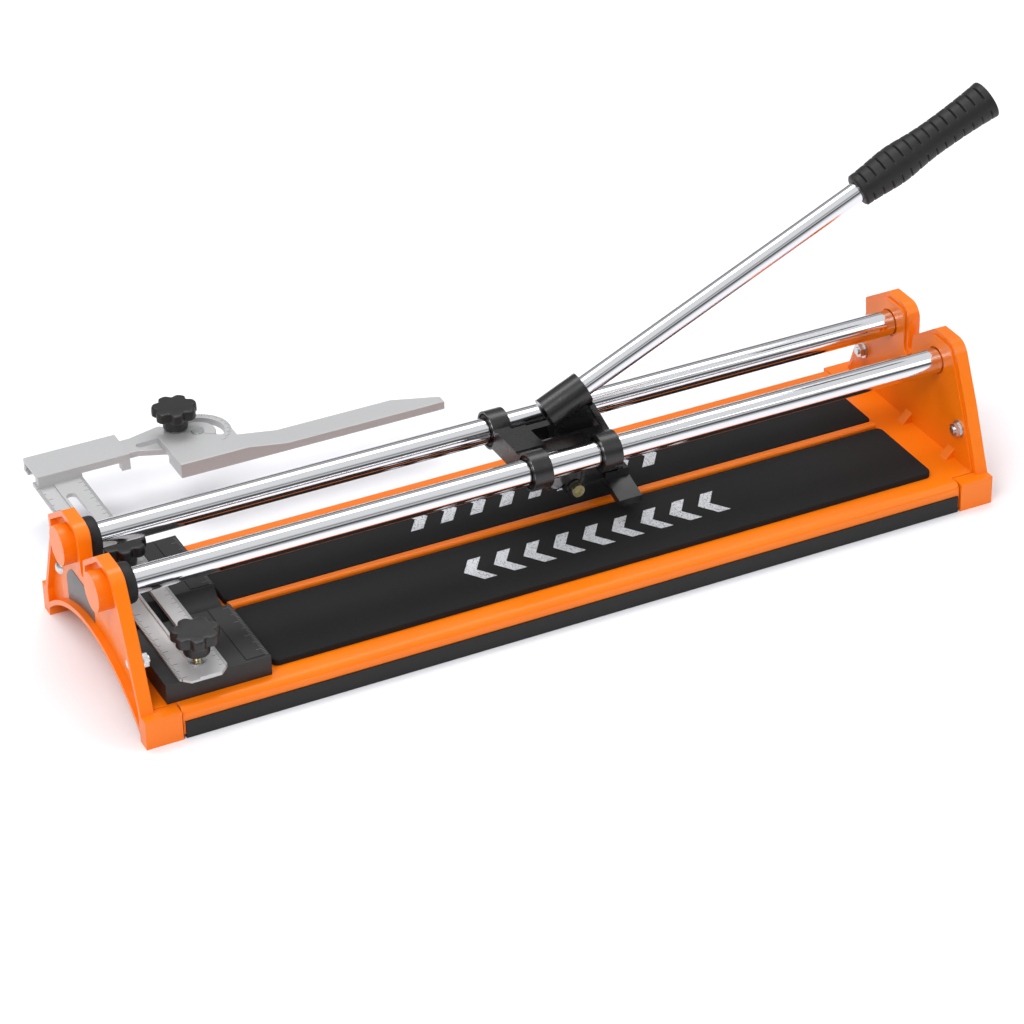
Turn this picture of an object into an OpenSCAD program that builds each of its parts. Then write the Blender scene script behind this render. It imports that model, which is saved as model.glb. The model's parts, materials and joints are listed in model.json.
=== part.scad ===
// Manual rail tile cutter: a pressed steel bed, two cast end frames, two rails, a carriage
// with a hand lever, a measuring block, a sliding T-square and a protractor fence.
// +X runs along the rails, -Y is the user's side, +Z is up.
// The origin is the middle of the bed, on the surface that the feet stand on.

/* [Bed] */
// Length over the feet of the end frames
bed_l = 700; // [560:10:900]
// Width over the feet of the end frames
bed_w = 207; // [190:1:260]
// Height of the deck's top face
deck_z = 24; // [20:1:32]
// Thickness of the bed's sheet steel
sheet_t = 1.5; // [1:0.1:2.5]
// Outer bend radius of the deck's long edges
bend_r = 6; // [3:0.5:10]
// Height of the break ridge above the deck
ridge_h = 6.5; // [4:0.5:9]
// Width of the break ridge
ridge_w = 8; // [6:0.5:10]
// Thickness of the foam pads
pad_t = 5; // [3:0.5:8]
// Width of each foam pad
pad_w = 77; // [60:1:80]

/* [Rails] */
// Diameter of the rails
rail_d = 20; // [16:0.5:24]
// Distance between the rail axes
rail_gap = 68.8; // [64:0.2:86]
// Height of the rail axes
rail_z = 95; // [90:1:120]

/* [End frames] */
// Thickness of an end frame
frame_t = 10; // [8:0.5:14]
// Width of the rim round an end frame's outer face
rim_w = 4; // [3:0.5:6]
// Height of the foot blocks
foot_h = 23.5; // [18:0.5:24]
// Width of a foot block
foot_w = 12; // [10:0.5:16]
// Length of a foot block along the bed
foot_l = 28; // [22:1:34]
// Radius of the arch under an end frame
arch_r = 141; // [120:1:180]
// Height of the arch's crown
arch_z = 40; // [34:1:44]
// Diameter of the end bolts' thread
end_bolt_d = 6; // [5:0.5:8]

/* [Measuring block] */
// Length of the measuring block along the bed
block_l = 80.5; // [76:0.5:96]
// Height of the measuring block
block_h = 16; // [13:0.5:20]
// Diameter of the clamp studs
stud_d = 6; // [5:0.5:7]

/* [T-square] */
// Width of the T-square's bar
bar_w = 37; // [34:0.5:44]
// Thickness of the T-square's bar
bar_t = 3.2; // [2.5:0.1:5]
// Width of the slot in the bar
slot_w = 8; // [7.5:0.1:9]
// Width of the fence arm
arm_w = 21; // [18:0.5:25]
// Thickness of the fence arm
arm_t = 5.2; // [4:0.1:6.5]

/* [Protractor fence] */
// Radius of the protractor plate
hub_r = 26.5; // [25:0.5:32]
// Thickness of the protractor plate
hub_t = 6; // [4:0.5:8]
// Length of the fence from its pivot to its tip
fence_l = 192.5; // [150:0.5:240]
// Depth of the fence's blade, front to back
blade_w = 22.5; // [18:0.5:26]

/* [Carriage] */
// Distance from the first to the last ring face
carriage_l = 73; // [66:0.5:90]
// Length of one ring along its rail
ring_l = 15; // [12:0.5:20]
// Wall of a ring outside its bush
ring_wall = 2.8; // [2:0.1:4]
// Wall of a rail bush
bush_wall = 1.95; // [1.5:0.05:2.5]
// Inner width between the cheeks that hold the lever
cheek_gap = 17; // [15:0.5:20]

/* [Lever] */
// Diameter of the handle tube
tube_d = 16; // [12:0.5:19]
// Wall of the handle tube
tube_wall = 1.5; // [1:0.1:3]
// Length of the handle from its socket to its end
handle_l = 380.8; // [300:0.2:450]
// Length of the rubber grip
grip_l = 124; // [100:1:150]
// Angle of the handle above the rails at rest
handle_a = 24.4; // [20:0.2:30]
// Diameter of the cutting wheel
wheel_d = 22; // [18:0.5:22]
// Thickness of the cutting wheel
wheel_t = 2; // [1.5:0.1:3]
// Width of the breaker foot across the bed
breaker_w = 60; // [50:1:70]

/* [Hidden] */
$fn = 64;

orange = [0.95, 0.42, 0.07];
black = [0.10, 0.10, 0.11];
foam = [0.16, 0.16, 0.17];
silver = [0.78, 0.79, 0.80];
chrome = [0.85, 0.86, 0.88];
brass = [0.72, 0.60, 0.32];

// Clearances: between sliding bodies, round a fastener, and of a running fit (radial)
slide_gap = 0.3;
hole_gap = 0.25;
run_gap = 0.08;
rail_fit = 0.05;
// How far a cutting shape runs past the face that it cuts
past = 1;
// Flat-to-flat share of a hexagon's corner circle
hex_share = cos(30);

// Bed
half_l = bed_l / 2;
half_w = bed_w / 2;
frame_in = half_l - frame_t;
flange_y = half_w - 1.5;
flange_x = half_l - foot_l - 1;
flange_z = 3;
deck_half_w = half_w - foot_w - 0.5;
trim_wall = 1.5;
trim_h = 14;
trim_gap = 1.5;
gusset = 8;
gusset_w = 9;

// Rails and end frames
rail_y = rail_gap / 2;
rail_r = rail_d / 2;
boss_r = rail_r + 5;
boss_out = 7.5;
rail_half_l = half_l + 3;
frame_top = rail_z + 24.5;
side_y = half_w - 7.5;
knee = [side_y - 19, rail_z - 22];
bolt_y = half_w - 32.5;
bolt_z = deck_z + 28.5;
web_t = frame_t / 2;
bumper_l = 11.5;
bumper_r = rail_r + 5.5;

// Measuring block, its studs and the T-square on it
block_x0 = -half_l + 22;
block_x1 = block_x0 + block_l;
block_y = half_w - 12.5;
block_z = deck_z + block_h;
trough_r = 16;
trough_z = deck_z + 5.5;
scale_w = 18;
scale_h = 0.8;
guide_x = block_x0 + 30;
front_stud_y = -77;
rear_stud_y = 65;
stud_r = stud_d / 2;
bar_z0 = block_z + slide_gap;
bar_z1 = bar_z0 + bar_t;
bar_x0 = guide_x - bar_w / 2 - 1;
bar_x1 = bar_x0 + bar_w;
bar_front = -half_w + 6.5;
cross_y0 = 198;
slot_y0 = front_stud_y - 4;
slot_y1 = 179;

// Channel across the T-square's rear end, and the arm in it
arm_y0 = cross_y0 + 7;
arm_y1 = arm_y0 + arm_w;
arm_z0 = bar_z1 + slide_gap;
arm_z1 = arm_z0 + arm_t;
side_gap = 0.4;
channel_y1 = arm_y1 + 5;
channel_z1 = arm_z1 + slide_gap + 3.2;
channel_x0 = bar_x0 + 1.5;
channel_x1 = channel_x0 + 75;
arm_x0 = channel_x0 + 8;

// Protractor fence
pivot = [channel_x1 + 57.5, arm_y0 - 4.3];
knob_xy = [pivot[0] - 13.5, pivot[1] + 11.3];
slot_r = norm(knob_xy - pivot);
slot_half = stud_r + 0.25;
slot_a0 = -33;
slot_a1 = atan2(knob_xy[1] - pivot[1], knob_xy[0] - pivot[0]);
hub_z0 = arm_z1 + slide_gap;
hub_z1 = hub_z0 + hub_t;
fence_y0 = pivot[1] - 41.2;
fence_z0 = arm_z0 - 0.8;
blade_z1 = fence_z0 + 7;
arm_end_r = 14;
hub_x0 = pivot[0] - hub_r - 4;
hub_x1 = pivot[0] + hub_r - 1;
ramp_x = hub_x1 + 33;
tip_x = pivot[0] + fence_l;

// Carriage, measured from its left end, which lies just left of the bed's middle
car_x0 = -15;
car_x1 = car_x0 + carriage_l;
bush_r0 = rail_r + rail_fit;
bush_r1 = bush_r0 + bush_wall;
ring_r = bush_r1 + rail_fit + ring_wall;
cheek_in = cheek_gap / 2;
car_z0 = rail_z - 11;
car_z1 = rail_z + 7;
slot_end = car_x0 + 24;
front_wall_y = cheek_in + 3.5;
rear_wall_y = cheek_in + 7.5;
cheek_out = cheek_in + 3.5;
boss_face = cheek_in + 5.5;
pivot_x = car_x0 + 51;
pivot_z = rail_z - 40;
pivot_r = 3;
pivot_boss_r = 7.5;

// Lever
socket_x = pivot_x + 13.6;
socket_z = pivot_z + 77.5;
socket_l = 35;
socket_r = tube_d / 2 + 4.5;
tube_in = 28;
lever_half = cheek_in - slide_gap;
web_half = 4;
wheel_x = pivot_x - 13;
wheel_z = pivot_z + 7;
wheel_r = wheel_d / 2;
axle_r = 4.92;
fork_half = lever_half - 1.2;
fork_r = 8;
foot_x0 = pivot_x + 28;
foot_x1 = foot_x0 + 20;
foot_z1 = pivot_z - 3.5;
foot_t = 5.5;
foot_drop = 7;
grip_r = tube_d / 2 + 4.85;

// ---------------------------------------------------------------- helpers

function unit(v) = v / norm(v);

// Points of the arc of radius r that rounds the corner b between the points a and c
function corner_arc(a, b, c, r, steps = 6) =
  r <= 0 ? [b] :
  let (
    u = unit(a - b),
    w = unit(c - b),
    half = acos(u * w) / 2,
    run = r / tan(half),
    start = b + u * run,
    end = b + w * run,
    middle = b + unit(u + w) * r / sin(half),
    a0 = atan2(start[1] - middle[1], start[0] - middle[0]),
    a1 = atan2(end[1] - middle[1], end[0] - middle[0]),
    sweep = (a1 - a0 + 540) % 360 - 180
  )
  [for (i = [0 : steps]) middle + r * [cos(a0 + sweep * i / steps), sin(a0 + sweep * i / steps)]];

function flat(p) = [p[0], p[1]];

// Outline through corners [a, b, radius], with every corner rounded to its radius
function rounded(corners) =
  let (n = len(corners))
  [for (i = [0 : n - 1])
    each corner_arc(
      flat(corners[(i + n - 1) % n]), flat(corners[i]), flat(corners[(i + 1) % n]), corners[i][2]
    )
  ];

// Normal that points into a clockwise outline from its edge p to q
function inward(p, q) = let (d = unit(q - p)) [d[1], -d[0]];

// A clockwise list of corners moved inwards by d
function inset(corners, d) =
  let (n = len(corners))
  [for (i = [0 : n - 1])
    let (
      a = flat(corners[(i + n - 1) % n]),
      b = flat(corners[i]),
      c = flat(corners[(i + 1) % n]),
      n0 = inward(a, b),
      n1 = inward(b, c),
      moved = b + (n0 + n1) * d / (1 + n0 * n1),
      r = cross(b - a, c - b) < 0 ? max(corners[i][2] - d, 0) : corners[i][2] + d
    )
    [moved[0], moved[1], r]
  ];

// A YZ outline carried along X, and an XZ outline carried along Y
module along_x(x0, x1) { translate([x0, 0, 0]) rotate([90, 0, 90]) linear_extrude(x1 - x0) children(); }
module along_y(y0, y1) { translate([0, y1, 0]) rotate([90, 0, 0]) linear_extrude(y1 - y0) children(); }
module along_z(z0, z1) { translate([0, 0, z0]) linear_extrude(z1 - z0) children(); }

// Round bars along each axis
module bar_x(x0, x1, y, z, r) { translate([x0, y, z]) rotate([0, 90, 0]) cylinder(h = x1 - x0, r = r); }
module bar_y(y0, y1, x, z, r) { translate([x, y0, z]) rotate([-90, 0, 0]) cylinder(h = y1 - y0, r = r); }
module bar_z(z0, z1, x, y, r) { translate([x, y, z0]) cylinder(h = z1 - z0, r = r); }

// A box between two corners
module box(a, b) { translate(a) cube(b - a); }

module both_ends() {
  children();
  mirror([1, 0, 0]) children();
}

module both_sides() {
  children();
  mirror([0, 1, 0]) children();
}

// A slot with round ends along Y
module slot_y(y0, y1, z0, z1, x, r) {
  box([x - r, y0 + r, z0], [x + r, y1 - r, z1]);
  bar_z(z0, z1, x, y0 + r, r);
  bar_z(z0, z1, x, y1 - r, r);
}

// ---------------------------------------------------------------- bed

// Section of the pressed deck: an inverted U with round shoulders
function deck_section(half, z0, r, t) =
  rounded([[-half, z0, 0], [-half, deck_z - t, r], [half, deck_z - t, r], [half, z0, 0]]);

module deck_profile() {
  difference() {
    polygon(deck_section(flange_y, flange_z, bend_r, 0));
    polygon(deck_section(flange_y - sheet_t, flange_z - past, bend_r - sheet_t, sheet_t));
  }
}

// Corners of an end frame without its feet, clockwise from the front side's bottom
// Front and rear horns share one shape: a round shoulder, a flat top and a slope to a hook
frame_corners = [
  [-side_y, 0, 0],
  [-side_y, foot_h, 0],
  [-knee[0], knee[1], 60],
  [-rail_y - 22.1, frame_top, 14],
  [-rail_y + 6, frame_top, 3],
  [-rail_y + 35.9, rail_z + 4, 3],
  [-rail_y + 37.4, rail_z - 12, 2.4],
  [rail_y - 26.4, rail_z - 12, 2.4],
  [rail_y - 26.4, frame_top, 12],
  [rail_y + 6, frame_top, 3],
  [rail_y + 38, rail_z + 4, 3],
  [rail_y + 37, rail_z - 10, 6],
  [side_y, foot_h, 0],
  [side_y, 0, 0]
];

module arch(r) { bar_x(0, half_l + past, 0, arch_z - arch_r, r); }

// The sheet's upstand, which lies against the end frame inside its rim
module upstand() {
  difference() {
    along_x(frame_in - sheet_t, frame_in) intersection() {
      polygon(rounded(inset(frame_corners, rim_w)));
      translate([-deck_half_w, deck_z - sheet_t]) square([2 * deck_half_w, frame_top]);
    }
    both_sides() bar_x(0, half_l, rail_y, rail_z, rail_r + 1);
    both_sides() bar_x(0, half_l, bolt_y, bolt_z, end_bolt_d / 2 + hole_gap);
  }
}

// Pressed gusset across the fold between deck and upstand
module fold_gusset(y) {
  translate([frame_in - sheet_t, y - gusset_w / 2, deck_z]) rotate([90, 0, 180])
    linear_extrude(gusset_w) polygon([[0, 0], [gusset, 0], [0, gusset]]);
}

module base_tray() color(orange) {
  difference() {
    union() {
      along_x(-flange_x, flange_x) deck_profile();
      both_ends() box([flange_x - past, -deck_half_w, deck_z - sheet_t], [frame_in, deck_half_w, deck_z]);
      both_ends() upstand();
      both_ends() for (y = [-62, 0, 62]) fold_gusset(y);
    }
    for (y = [front_stud_y, rear_stud_y])
      bar_z(deck_z - 5, deck_z + past, guide_x, y, stud_r + hole_gap);
    stop_screw_holes(2.5 + hole_gap);
  }
}

pad_x0 = block_x1 + 4.5;
pad_x1 = half_l - 42;
pad_y0 = ridge_w / 2 + 2;

module break_ridge() color(orange)
  along_x(pad_x0, pad_x1 - 2) polygon(rounded([
    [-ridge_w / 2, deck_z, 0],
    [-ridge_w / 2, deck_z + ridge_h, 2.5],
    [ridge_w / 2, deck_z + ridge_h, 2.5],
    [ridge_w / 2, deck_z, 0]
  ]));

module pad() { box([pad_x0, pad_y0, deck_z], [pad_x1, pad_y0 + pad_w, deck_z + pad_t]); }
module front_pad() color(foam) mirror([0, 1, 0]) pad();
module rear_pad() color(foam) pad();

// Rubber trim pushed up over the flange's edge: the bed also stands on it
module edge_strip() {
  along_x(-flange_x + trim_gap, flange_x - trim_gap) difference() {
    polygon(rounded([
      [flange_y - sheet_t - trim_wall, 0, 0.8],
      [flange_y - sheet_t - trim_wall, trim_h, 0.6],
      [half_w, trim_h, 0.6],
      [half_w, 0, 0.8]
    ]));
    translate([flange_y - sheet_t, flange_z]) square([sheet_t, trim_h]);
  }
}
module front_edge_strip() color(black) mirror([0, 1, 0]) edge_strip();
module rear_edge_strip() color(black) edge_strip();

// ---------------------------------------------------------------- end frames

module end_frame() {
  difference() {
    union() {
      difference() {
        along_x(frame_in, half_l) polygon(rounded(frame_corners));
        difference() {
          along_x(frame_in + web_t, half_l + past) polygon(rounded(inset(frame_corners, rim_w)));
          arch(arch_r + rim_w);
        }
        arch(arch_r);
        both_sides() bar_x(0, half_l, bolt_y, bolt_z, end_bolt_d / 2 + hole_gap);
      }
      both_sides() foot_block();
      both_sides() bar_x(frame_in, half_l + boss_out, rail_y, rail_z, boss_r);
    }
    both_sides() bar_x(0, rail_half_l + 0.2, rail_y, rail_z, rail_r + rail_fit);
  }
}

module foot_block() {
  box([half_l - foot_l, half_w - foot_w, 0], [half_l, half_w, foot_h]);
}

module left_end_frame() color(orange) mirror([1, 0, 0]) end_frame();
module right_end_frame() color(orange) end_frame();

module four_corners() { both_ends() both_sides() translate([0, bolt_y, bolt_z]) children(); }

washer_t = 1.2;
nut_t = 4;
web_face = frame_in + web_t;
nut_face = frame_in - sheet_t - washer_t;

module end_bolts() color(chrome) four_corners() {
  bar_x(nut_face - nut_t - 1.5, web_face, 0, 0, end_bolt_d / 2);
  intersection() {
    translate([web_face - 2.5, 0, 0]) sphere(r = 6.3);
    box([web_face, -10, -10], [web_face + 10, 10, 10]);
  }
}

module end_washers() color(chrome) four_corners() difference() {
  bar_x(nut_face, nut_face + washer_t, 0, 0, end_bolt_d + 1);
  bar_x(nut_face - past, nut_face + 3, 0, 0, end_bolt_d / 2 + hole_gap);
}

module end_nuts() color(chrome) four_corners() difference() {
  translate([nut_face - nut_t, 0, 0]) rotate([0, 90, 0])
    cylinder(h = nut_t, r = end_bolt_d * 5 / 6 / hex_share, $fn = 6);
  bar_x(nut_face - nut_t - past, nut_face + past, 0, 0, end_bolt_d / 2 + 0.05);
}

// ---------------------------------------------------------------- rails

module rail() { bar_x(-rail_half_l, rail_half_l, rail_y, rail_z, rail_r); }
module front_rail() color(chrome) mirror([0, 1, 0]) rail();
module rear_rail() color(chrome) rail();

// Rubber rings that stop the carriage before it meets the left end frame
module rail_bumpers() color(black) both_sides() difference() {
  bar_x(-frame_in + sheet_t, -frame_in + sheet_t + bumper_l, rail_y, rail_z, bumper_r);
  bar_x(-half_l, 0, rail_y, rail_z, rail_r + rail_fit);
}

// ---------------------------------------------------------------- measuring block

screw_x = block_x1 - 9;
screw_y = 55;

module stop_screw_holes(r) { both_sides() bar_z(deck_z - 5, deck_z + 9, screw_x, screw_y, r); }

module stop_block() color(black) difference() {
  union() {
    box([block_x0, -block_y, deck_z], [block_x1, block_y, block_z]);
    box([block_x1 - scale_w, -block_y + 3, block_z], [block_x1 - 0.5, -trough_r, block_z + scale_h]);
    box([block_x1 - scale_w, trough_r, block_z], [block_x1 - 0.5, block_y - 3, block_z + scale_h]);
  }
  bar_x(block_x0 - past, block_x1 + past, 0, trough_z + trough_r, trough_r);
  for (y = [front_stud_y, rear_stud_y])
    bar_z(deck_z - past, block_z + past, guide_x, y, stud_r + hole_gap);
  stop_screw_holes(2.5 + hole_gap);
}

module stop_screws() color(chrome) both_sides() {
  bar_z(deck_z - sheet_t, deck_z + 8.5, screw_x, screw_y, 2.5);
  bar_z(deck_z - sheet_t - 2.6, deck_z - sheet_t, screw_x, screw_y, 4.6);
}

module stud(y, top) {
  bar_z(deck_z - sheet_t, top, guide_x, y, stud_r);
  bar_z(deck_z - sheet_t - 3, deck_z - sheet_t, guide_x, y, stud_r + 3);
}

// Height of a star knob's hub and of its star, and how far its stud reaches into it
hub_h = 10.5;
star_h = 9;
stud_in = 12;
front_knob_z = bar_z1 + 7.5;
rear_knob_z = bar_z1 + 1.6;

module front_stud() color(brass) stud(front_stud_y, front_knob_z + stud_in);
module rear_stud() color(brass) stud(rear_stud_y, rear_knob_z + stud_in);

module washer_at(x, y, z0, t) {
  difference() {
    bar_z(z0, z0 + t, x, y, stud_r * 2 + 1);
    bar_z(z0 - past, z0 + t + past, x, y, stud_r + hole_gap);
  }
}

module guide_washers() color(chrome)
  for (y = [front_stud_y, rear_stud_y]) washer_at(guide_x, y, bar_z1 + slide_gap, 1);

lobes = 7;
star_r = 15.6;
lobe_h = 2.4;
star_steps = 84;

// A seven-lobed star on a round hub, with a blind bore for its stud
module star_knob(x, y, z) {
  translate([x, y, z]) difference() {
    union() {
      cylinder(h = hub_h + past, r = stud_r + 7);
      translate([0, 0, hub_h]) linear_extrude(star_h) polygon([
        for (i = [0 : star_steps - 1])
          let (a = 360 * i / star_steps) (star_r + lobe_h * cos(lobes * a)) * [cos(a), sin(a)]
      ]);
    }
    translate([0, 0, -past]) cylinder(h = stud_in + past + 0.5, r = stud_r + run_gap);
  }
}

module front_knob() color(black) star_knob(guide_x, front_stud_y, front_knob_z);
module rear_knob() color(black) star_knob(guide_x, rear_stud_y, rear_knob_z);

// ---------------------------------------------------------------- T-square

ledge_w = 13.5;
ledge_drop = 1.4;
bar_cut = 7;

module guide_square() color(silver) difference() {
  union() {
    along_z(bar_z0, bar_z1) polygon([
      [bar_x0, bar_front + bar_cut], [bar_x0 + bar_cut, bar_front],
      [bar_x1 - bar_cut, bar_front], [bar_x1, bar_front + bar_cut],
      [bar_x1, arm_y0 + 3], [bar_x0, arm_y0 + 3]
    ]);
    box([channel_x0, cross_y0, bar_z1 - past], [bar_x1, arm_y0 - side_gap, channel_z1]);
    box([channel_x0, cross_y0, arm_z0 + 2.8], [channel_x1, arm_y0 - side_gap, channel_z1]);
    box([channel_x0, cross_y0, arm_z1 + slide_gap], [channel_x1, channel_y1, channel_z1]);
    box([channel_x0, arm_y1 + side_gap, bar_z0 + 1.5], [channel_x1, channel_y1, channel_z1]);
    box([channel_x0, arm_y1 - 4, bar_z0 + 1.5], [channel_x1, channel_y1, bar_z1]);
    box([channel_x1 - 7, cross_y0, bar_z0 - 1.3], [channel_x1, arm_y0 - side_gap, channel_z1]);
  }
  slot_y(slot_y0, slot_y1, bar_z0 - past, bar_z1 + past, guide_x, slot_w / 2);
  box([bar_x0 - past, bar_front - past, bar_z1 - ledge_drop],
    [bar_x0 + ledge_w, cross_y0 - 0.01, bar_z1 + past]);
}

// ---------------------------------------------------------------- fence arm and what it carries

module fence_arm() color(silver) difference() {
  union() {
    box([arm_x0, arm_y0, arm_z0], [pivot[0] - 40, arm_y1, arm_z1]);
    along_z(arm_z0, arm_z1) hull() {
      translate([pivot[0] - 48, arm_y0]) square([6, arm_w]);
      translate([pivot[0] - 22, arm_y1 + 2]) circle(r = 4.5, $fn = 32);
      translate(pivot) circle(r = arm_end_r, $fn = 64);
    }
  }
  bar_z(arm_z0 - past, arm_z1 + past, pivot[0], pivot[1], stud_r + hole_gap);
  translate([0, 0, arm_z0 - past]) for (x = [knob_xy[0] - 30, knob_xy[0]])
    translate([x, knob_xy[1], 0]) cylinder(h = arm_t + 2 * past, r = stud_r + hole_gap);
  box([knob_xy[0] - 30, knob_xy[1] - stud_r - hole_gap, arm_z0 - past],
    [knob_xy[0], knob_xy[1] + stud_r + hole_gap, arm_z1 + past]);
}

pin_head = 1.2;

// Rivet that the fence turns on, held in the arm
module fence_pivot_pin() color(chrome) {
  bar_z(arm_z0 - pin_head, hub_z1 + slide_gap + pin_head, pivot[0], pivot[1], stud_r);
  bar_z(arm_z0 - pin_head, arm_z0, pivot[0], pivot[1], stud_r + 2);
  bar_z(hub_z1 + slide_gap, hub_z1 + slide_gap + pin_head, pivot[0], pivot[1], stud_r + 2);
}

fence_knob_z = hub_z1 + slide_gap + 1.4;

module fence_stud() color(brass) {
  bar_z(arm_z0, fence_knob_z + stud_in, knob_xy[0], knob_xy[1], stud_r);
  bar_z(arm_z0 - 2.5, arm_z0, knob_xy[0], knob_xy[1], stud_r + 2);
}

module fence_washer() color(chrome) washer_at(knob_xy[0], knob_xy[1], hub_z1 + slide_gap, 1);
module fence_knob() color(black) star_knob(knob_xy[0], knob_xy[1], fence_knob_z);

// Points of an arc round a centre, from angle a0 to a1
function arc(centre, r, a0, a1, steps) =
  [for (i = [0 : steps]) let (a = a0 + (a1 - a0) * i / steps) centre + r * [cos(a), sin(a)]];

function on_slot(a) = pivot + slot_r * [cos(a), sin(a)];

// Slot in the protractor plate, on a circle round the pivot, with round ends
module arc_slot() {
  along_z(hub_z0 - past, hub_z1 + past) polygon(concat(
    arc(pivot, slot_r + slot_half, slot_a0, slot_a1, 28),
    arc(on_slot(slot_a1), slot_half, slot_a1 + 15, slot_a1 + 165, 10),
    arc(pivot, slot_r - slot_half, slot_a1, slot_a0, 28),
    arc(on_slot(slot_a0), slot_half, slot_a0 + 195, slot_a0 + 345, 10)
  ));
}

module angle_fence() color(silver) difference() {
  union() {
    bar_z(hub_z0, hub_z1, pivot[0], pivot[1], hub_r);
    box([hub_x0, fence_y0, hub_z0], [pivot[0], pivot[1] + 8.3, hub_z1]);
    box([pivot[0] - 1, fence_y0, hub_z0], [hub_x1, pivot[1], hub_z1]);
    box([hub_x0, fence_y0, fence_z0], [hub_x1, pivot[1] - arm_end_r - 0.7, hub_z0 + past]);
    along_y(fence_y0, fence_y0 + blade_w) polygon([
      [hub_x1 - 1, fence_z0], [hub_x1 - 1, hub_z1], [hub_x1, hub_z1],
      [ramp_x, blade_z1], [ramp_x + 1, blade_z1], [ramp_x + 1, fence_z0]
    ]);
    along_z(fence_z0, blade_z1) polygon([
      [ramp_x, fence_y0], [ramp_x, fence_y0 + blade_w], [tip_x - 37, fence_y0 + blade_w],
      [tip_x, fence_y0 + 9], [tip_x, fence_y0]
    ]);
  }
  bar_z(hub_z0 - past, hub_z1 + past, pivot[0], pivot[1], stud_r + run_gap);
  arc_slot();
}

// ---------------------------------------------------------------- carriage

ring_xs = [car_x0, car_x1 - ring_l];

module rings(r) { for (x = ring_xs) both_sides() bar_x(x, x + ring_l, rail_y, rail_z, r); }

// A cheek that hangs beside the lever and ends in the pivot's boss
module cheek(face) {
  along_y(cheek_in, cheek_out) polygon([
    [pivot_x - 14, car_z0 + 3], [pivot_x + 12, car_z0 + 3],
    [pivot_x + pivot_boss_r - 0.4, pivot_z], [pivot_x - pivot_boss_r + 0.4, pivot_z]
  ]);
  bar_y(cheek_in, face, pivot_x, pivot_z, pivot_boss_r);
}

module carriage_body() color(black) difference() {
  union() {
    rings(ring_r);
    box([car_x0, -16, car_z0], [slot_end, 16, car_z1 + 1]);
    box([car_x0, -rail_y, car_z0], [car_x0 + 13, rail_y, car_z1]);
    box([slot_end - past, -front_wall_y, car_z0], [car_x1, -cheek_in, car_z1]);
    box([slot_end - past, cheek_in, car_z0], [car_x1, rear_wall_y, car_z1]);
    both_sides() box([car_x1 - ring_l, cheek_in, car_z0], [car_x1, rail_y, car_z1]);
    both_sides() cheek(boss_face);
  }
  for (x = ring_xs) both_sides() bar_x(x - past, x + ring_l + past, rail_y, rail_z, bush_r1 + rail_fit);
  box([slot_end, -cheek_in, pivot_z - 20], [car_x1 + past, cheek_in, car_z1 + 5]);
  bar_y(-boss_face - past, boss_face + past, pivot_x, pivot_z, pivot_r + hole_gap);
}

module rail_bushes() color(silver) for (x = ring_xs) both_sides() difference() {
  bar_x(x + 0.5, x + ring_l - 0.5, rail_y, rail_z, bush_r1);
  bar_x(x - past, x + ring_l + past, rail_y, rail_z, bush_r0);
}

bolt_head = 4;

module pivot_bolt() color(brass) difference() {
  union() {
    bar_y(-boss_face, boss_face + 6.5, pivot_x, pivot_z, pivot_r);
    bar_y(-boss_face - bolt_head, -boss_face, pivot_x, pivot_z, 5);
  }
  translate([pivot_x, -boss_face - bolt_head - past, pivot_z]) rotate([-90, 0, 0])
    cylinder(h = 3.5, r = 2.5 / hex_share, $fn = 6);
}

module pivot_nut() color(chrome) difference() {
  translate([pivot_x, boss_face, pivot_z]) rotate([-90, 0, 0])
    cylinder(h = 5, r = 5 / hex_share, $fn = 6);
  bar_y(boss_face - past, boss_face + 6, pivot_x, pivot_z, pivot_r + 0.05);
}

// ---------------------------------------------------------------- lever

module on_handle() { translate([socket_x, 0, socket_z]) rotate([0, 90 - handle_a, 0]) children(); }

function from_pivot(x, z) = [pivot_x + x, pivot_z + z];

// Corner of the end flange where it turns down to the foot, and its top at the socket's lip
flange_top = [socket_x + sin(handle_a) * socket_r, socket_z - cos(handle_a) * socket_r];
flange_knee = from_pivot(38, 27.4);
flange_foot = [foot_x1 - 4, foot_z1];

module lever_web() {
  polygon([
    from_pivot(-12.6, 56), from_pivot(-13, 45), from_pivot(-17, 14), from_pivot(-13, 2),
    from_pivot(0, -6), from_pivot(16, -5), [foot_x0, foot_z1], flange_foot,
    flange_knee, flange_top
  ]);
}

module lever_flange() {
  polygon([
    flange_top, flange_knee, flange_foot,
    flange_foot - [4, 0], flange_knee - [4, 1.5], flange_top - [4, 1.5]
  ]);
}

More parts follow.
